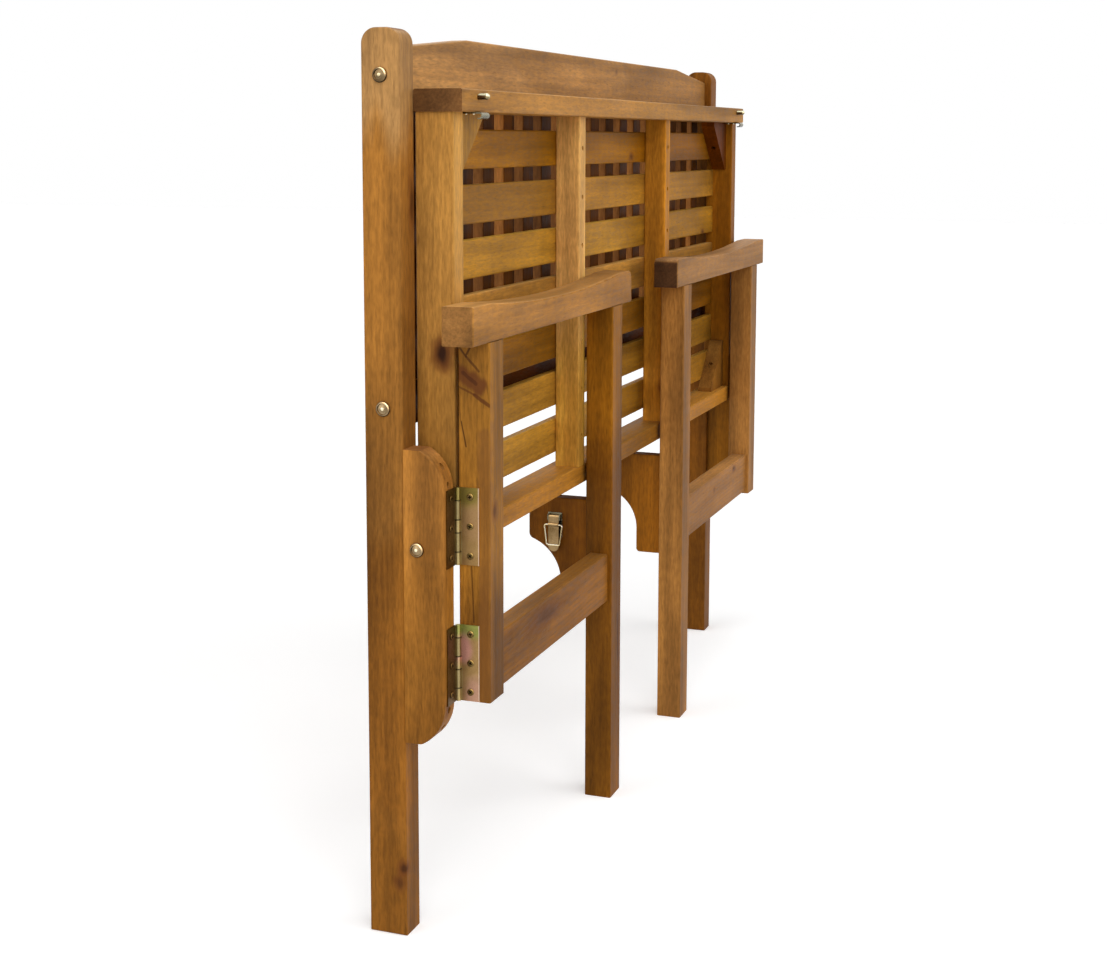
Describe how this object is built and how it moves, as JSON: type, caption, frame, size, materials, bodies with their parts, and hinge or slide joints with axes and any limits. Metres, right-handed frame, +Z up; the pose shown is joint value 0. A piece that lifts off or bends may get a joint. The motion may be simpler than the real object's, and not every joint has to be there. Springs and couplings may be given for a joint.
{
  "type": "folding garden bench",
  "caption": "Folding slatted hardwood garden bench in its folded pose: the seat is tipped up and the hinged arm frames lie flat across it.",
  "frame": {"origin": "on the floor under the middle of the folded bench", "axes": "+X along the bench, to the right as seen from the front, -Y towards the front, +Z up"},
  "size_m": [1.1876, 0.1188, 0.9],
  "materials": {
    "back_wood": "oiled, honey brown",
    "seat_wood": "oiled, golden brown",
    "frame_wood": "oiled, reddish brown",
    "bolt_steel": "plain stainless, domed",
    "screw_steel": "yellow zinc",
    "zinc_plate": "yellow zinc plated sheet",
    "bright_steel": "bright nickel plated"
  },
  "bodies": {
    "back": {"back_lower_rail": "back_wood", "back_slats": "back_wood", "block_screws": "screw_steel", "crest_rail": "back_wood", "fixed_leaf_screws": "screw_steel", "hinge_pins": "zinc_plate", "left_fixed_leaves": "zinc_plate", "left_hinge_block": "back_wood", "left_post": "back_wood", "pivot_spacers": "bolt_steel", "rail_bolts": "bolt_steel", "right_fixed_leaves": "zinc_plate", "right_hinge_block": "back_wood", "right_post": "back_wood"},
    "seat": {"bearer_screws": "screw_steel", "catch_screws": "screw_steel", "corner_block_screws": "screw_steel", "left_bearer": "seat_wood", "left_catch": "bright_steel", "left_front_corner_block": "seat_wood", "left_rear_corner_block": "seat_wood", "left_seat_side_rail": "seat_wood", "locating_studs": "bright_steel", "right_bearer": "seat_wood", "right_catch": "bright_steel", "right_front_corner_block": "seat_wood", "right_rear_corner_block": "seat_wood", "right_seat_side_rail": "seat_wood", "seat_front_rail": "seat_wood", "seat_pivot_bolts": "bolt_steel", "seat_rear_rail": "seat_wood", "seat_slat_1": "seat_wood", "seat_slat_2": "seat_wood", "seat_slat_3": "seat_wood", "seat_slat_4": "seat_wood", "seat_slat_5": "seat_wood", "seat_slat_6": "seat_wood", "seat_slat_7": "seat_wood"},
    "left_side_frame": {"left_arm": "frame_wood", "left_arm_post": "frame_wood", "left_front_leg": "frame_wood", "left_cross_rail": "frame_wood", "left_front_bracket": "frame_wood", "left_swing_leaves": "zinc_plate", "left_frame_screws": "screw_steel", "left_latch_base": "bright_steel", "left_latch_pin": "bright_steel"},
    "right_side_frame": {"right_arm": "frame_wood", "right_arm_post": "frame_wood", "right_front_leg": "frame_wood", "right_cross_rail": "frame_wood", "right_front_bracket": "frame_wood", "right_swing_leaves": "zinc_plate", "right_frame_screws": "screw_steel", "right_latch_base": "bright_steel", "right_latch_pin": "bright_steel"},
    "left_lever": {"left_latch_lever": "bright_steel"},
    "left_bail": {"left_latch_bail": "bright_steel"},
    "right_lever": {"right_latch_lever": "bright_steel"},
    "right_bail": {"right_latch_bail": "bright_steel"}
  },
  "joints": [
    {"name": "left_frame_swing", "type": "hinge", "parent": "back", "child": "left_side_frame", "pos_m": [-0.5564, -0.0262, 0.34925], "axis": [0, 0, -1], "range_deg": [0, 90]},
    {"name": "right_frame_swing", "type": "hinge", "parent": "back", "child": "right_side_frame", "pos_m": [0.5564, -0.0262, 0.34925], "axis": [0, 0, 1], "range_deg": [0, 90]},
    {"name": "seat_fold", "type": "hinge", "parent": "back", "child": "seat", "pos_m": [0, 0.0044, 0.398], "axis": [1, 0, 0], "range_deg": [-0.05, 0.8]},
    {"name": "left_lever_turn", "type": "hinge", "parent": "left_side_frame", "child": "left_lever", "pos_m": [-0.1678, 0.0152, 0.342], "axis": [0, 1, 0], "range_deg": [0, 95]},
    {"name": "left_bail_turn", "type": "hinge", "parent": "left_lever", "child": "left_bail", "pos_m": [-0.1713, 0.0152, 0.333], "axis": [0, 1, 0], "range_deg": [0, 85]},
    {"name": "right_lever_turn", "type": "hinge", "parent": "right_side_frame", "child": "right_lever", "pos_m": [0.1678, 0.0152, 0.342], "axis": [0, -1, 0], "range_deg": [0, 95]},
    {"name": "right_bail_turn", "type": "hinge", "parent": "right_lever", "child": "right_bail", "pos_m": [0.1713, 0.0152, 0.333], "axis": [0, -1, 0], "range_deg": [0, 85]}
  ]
}
